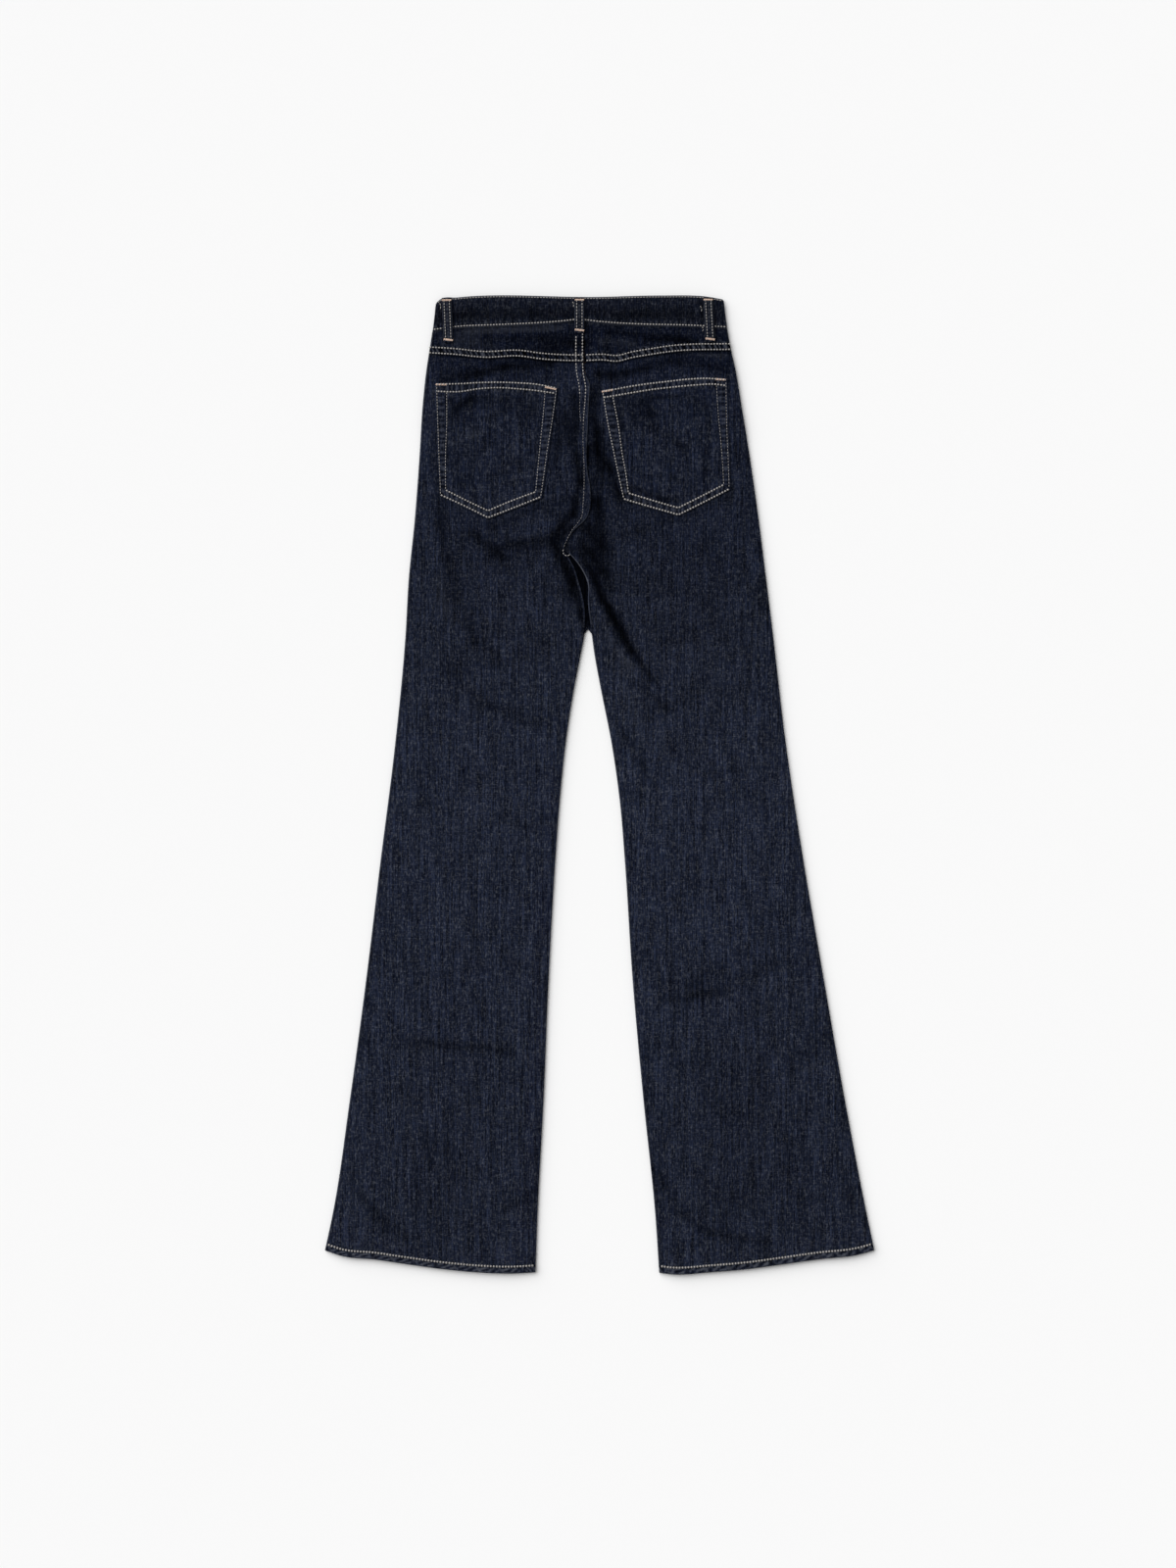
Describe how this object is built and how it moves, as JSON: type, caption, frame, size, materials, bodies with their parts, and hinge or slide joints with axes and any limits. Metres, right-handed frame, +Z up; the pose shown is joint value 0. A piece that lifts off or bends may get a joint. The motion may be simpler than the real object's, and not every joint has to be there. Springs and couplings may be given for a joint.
{
  "type": "flared jeans laid flat",
  "caption": "Dark indigo jeans with flared legs, laid flat with the back upwards, patch pockets, yoke, waistband and belt loops in contrast stitching.",
  "frame": {"origin": "bottom centre of the laid garment's bounding box, on the surface that it lies on", "axes": "+Y to the waist, +X to the right as the back is seen from above, +Z up out of the back of the garment"},
  "size_m": [0.6167, 1.0984, 0.0098],
  "materials": {
    "denim": "rinsed indigo cotton twill with a little stretch, slubby warp, matt",
    "thread": "thick tan topstitching thread",
    "hardware": "aged brass"
  },
  "bodies": {
    "root": {"back_left": "denim", "back_right": "denim", "yoke_left": "denim", "yoke_right": "denim", "front_left": "denim", "front_right": "denim", "facing_left": "denim", "facing_right": "denim", "waistband": "denim", "back_pocket_left": "denim", "back_pocket_right": "denim", "belt_loop_back_left": "denim", "belt_loop_centre": "denim", "belt_loop_back_right": "denim", "belt_loop_front_left": "denim", "belt_loop_front_right": "denim", "zip": "hardware", "button": "hardware"}
  },
  "joints": []
}
